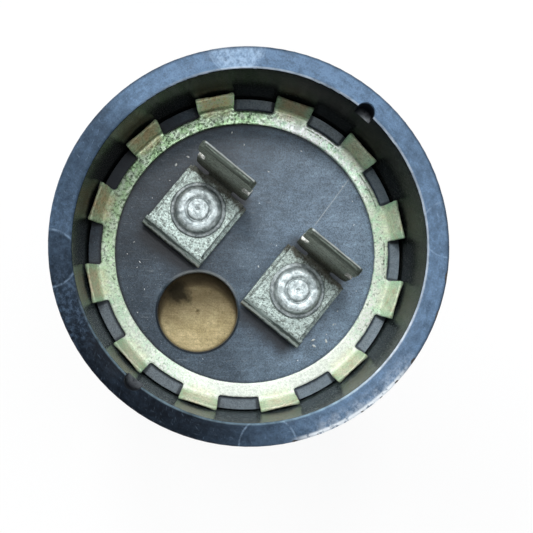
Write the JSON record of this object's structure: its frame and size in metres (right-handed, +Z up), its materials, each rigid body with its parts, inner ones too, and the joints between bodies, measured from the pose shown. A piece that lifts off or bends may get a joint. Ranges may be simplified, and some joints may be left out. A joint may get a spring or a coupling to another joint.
{
  "type": "motor start capacitor",
  "caption": "Round motor start capacitor: black moulded case with a recessed deck, riveted push-on terminals, a vent hole and a toothed retaining ring.",
  "frame": {"origin": "centre of the case's base, on the surface that it stands on", "axes": "+Z up along the case towards the terminals, +X through both rivets, +Y from the vent towards the terminal blades"},
  "size_m": [0.0364, 0.0364, 0.07],
  "materials": {
    "case_phenolic": "black moulded phenolic, satin on the rim and glossy inside, scuffed",
    "deck_laminate": "dark grey-blue laminate, matte, scratched",
    "gasket_rubber": "black rubber",
    "vent_fibre": "tan fibre, matte, stained",
    "ring_zinc": "yellow-green passivated zinc on steel, speckled, brown at the tabs",
    "terminal_tin": "tinned, grey and speckled with age",
    "rivet_aluminium": "pressed aluminium, dulled",
    "lead_aluminium": "soft aluminium strip",
    "pressboard": "brown pressboard",
    "winding_paper": "wound foil and soaked paper",
    "tape": "thin adhesive tape"
  },
  "bodies": {
    "root": {"case": "case_phenolic", "cover_gasket": "gasket_rubber", "terminal_deck": "deck_laminate", "vent_disc": "vent_fibre", "retaining_ring": "ring_zinc", "terminal_left": "terminal_tin", "terminal_right": "terminal_tin", "rivet_left": "rivet_aluminium", "rivet_right": "rivet_aluminium", "washer_left": "lead_aluminium", "washer_right": "lead_aluminium", "lead_left": "lead_aluminium", "lead_right": "lead_aluminium", "top_insulator": "pressboard", "winding": "winding_paper", "winding_tape": "tape", "bottom_pad": "pressboard"}
  },
  "joints": []
}
